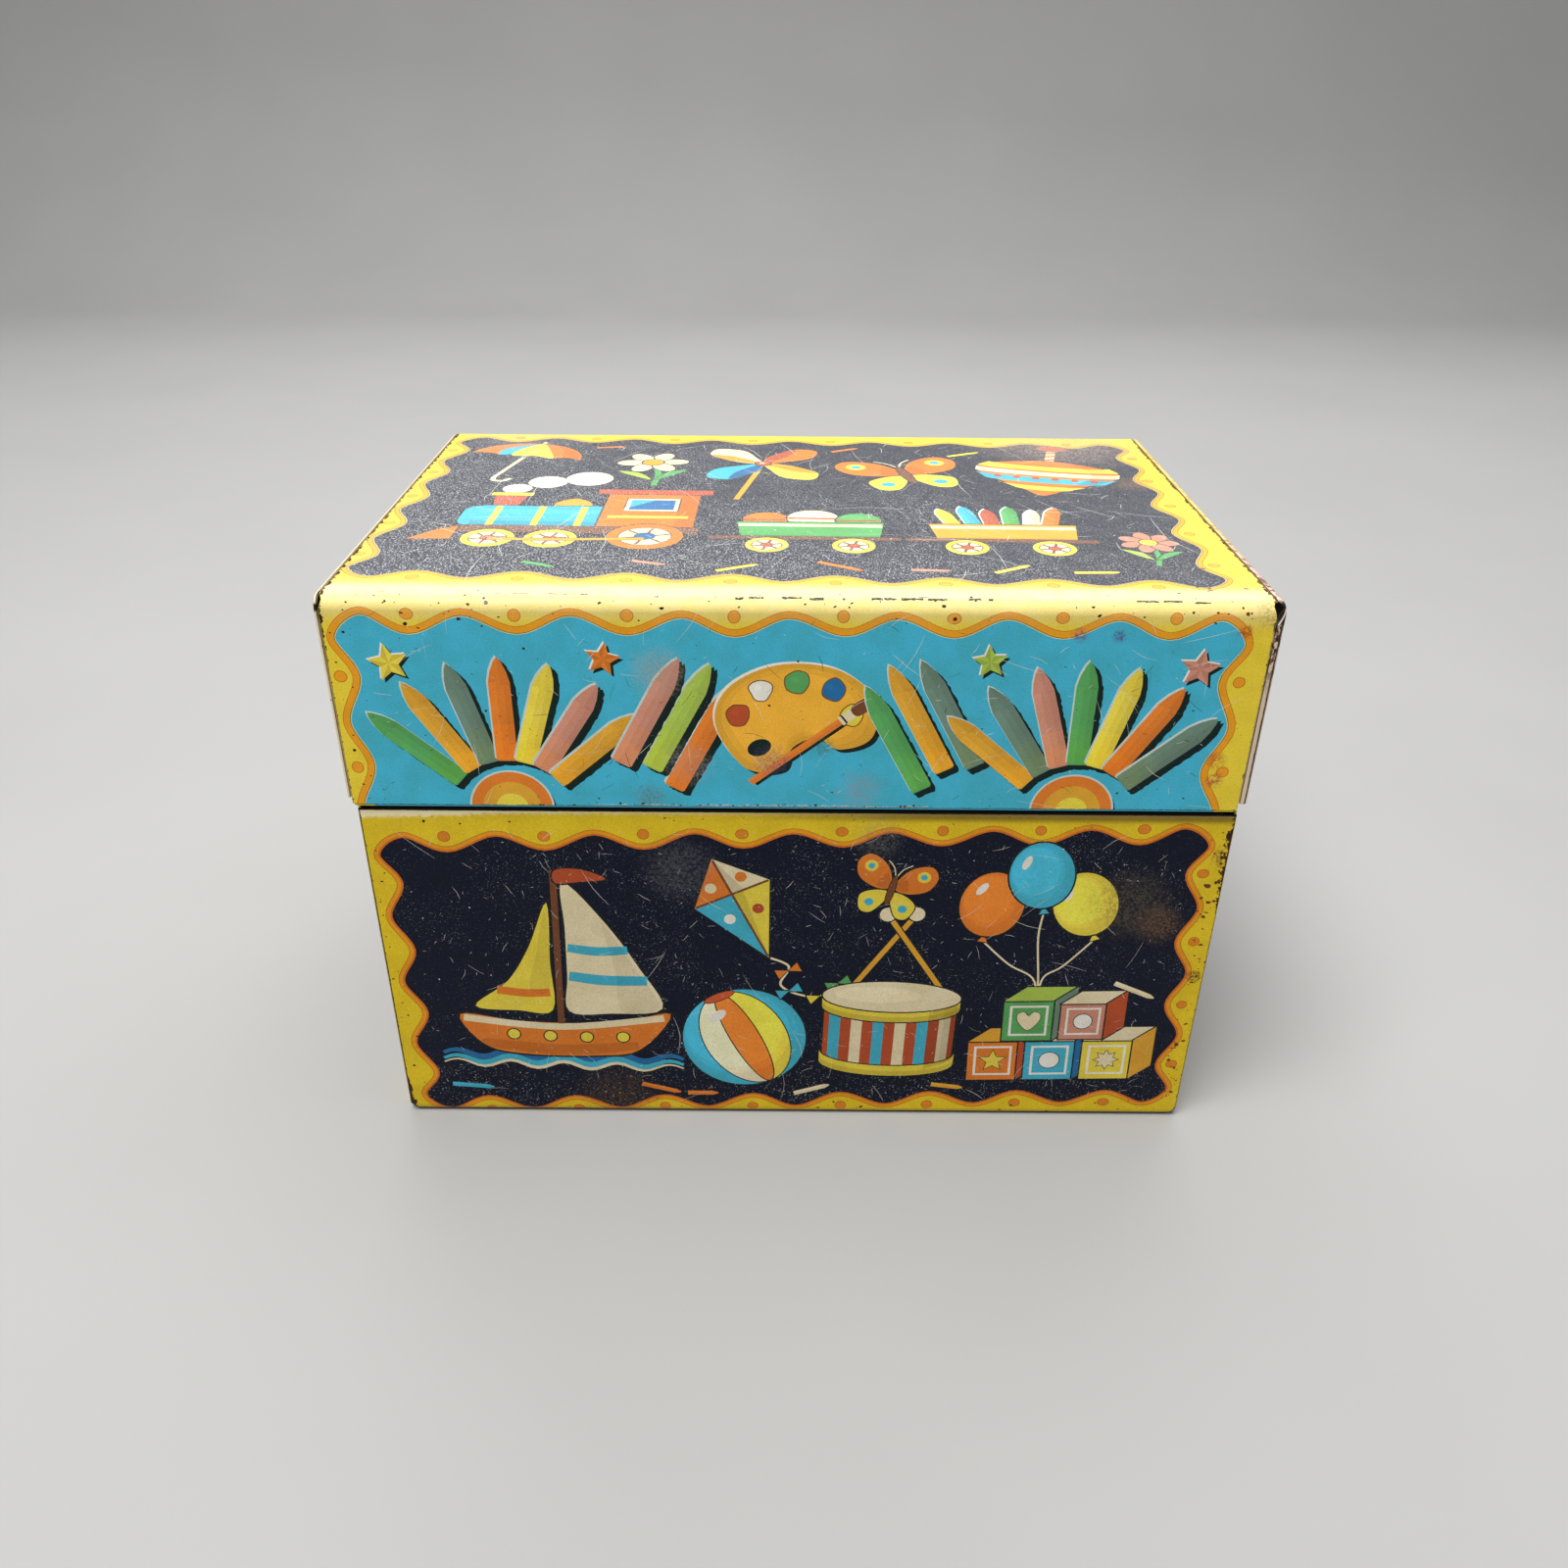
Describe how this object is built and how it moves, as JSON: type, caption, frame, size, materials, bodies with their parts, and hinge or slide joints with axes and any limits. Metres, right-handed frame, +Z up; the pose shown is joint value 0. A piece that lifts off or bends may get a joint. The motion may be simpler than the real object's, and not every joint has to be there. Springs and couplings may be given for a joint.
{
  "type": "crayon tin",
  "caption": "Small oblong box of printed tinplate with a deep hinged lid, a stepped neck and a full-width wire hinge.",
  "frame": {"origin": "centre of the underside, on the surface that the tin stands on", "axes": "+X along the width, to the viewer's right; +Y from the front to the hinge; +Z up"},
  "size_m": [0.1334, 0.0884, 0.0943],
  "materials": {
    "printed_sheet": "lithographed tinplate under gloss varnish, bare tin inside",
    "printed_end": "lithographed tinplate under gloss varnish, bare tin inside",
    "steel_wire": "dull drawn wire"
  },
  "bodies": {
    "base": {"base_wrap": "printed_sheet", "base_left_end": "printed_end", "base_right_end": "printed_end", "hinge_pin": "steel_wire"},
    "lid": {"lid_wrap": "printed_sheet", "lid_left_end": "printed_end", "lid_right_end": "printed_end"}
  },
  "joints": [
    {"name": "lid_hinge", "type": "hinge", "parent": "base", "child": "lid", "pos_m": [0, 0.04305, 0.06085], "axis": [-1, 0, 0], "range_deg": [0, 100]}
  ]
}
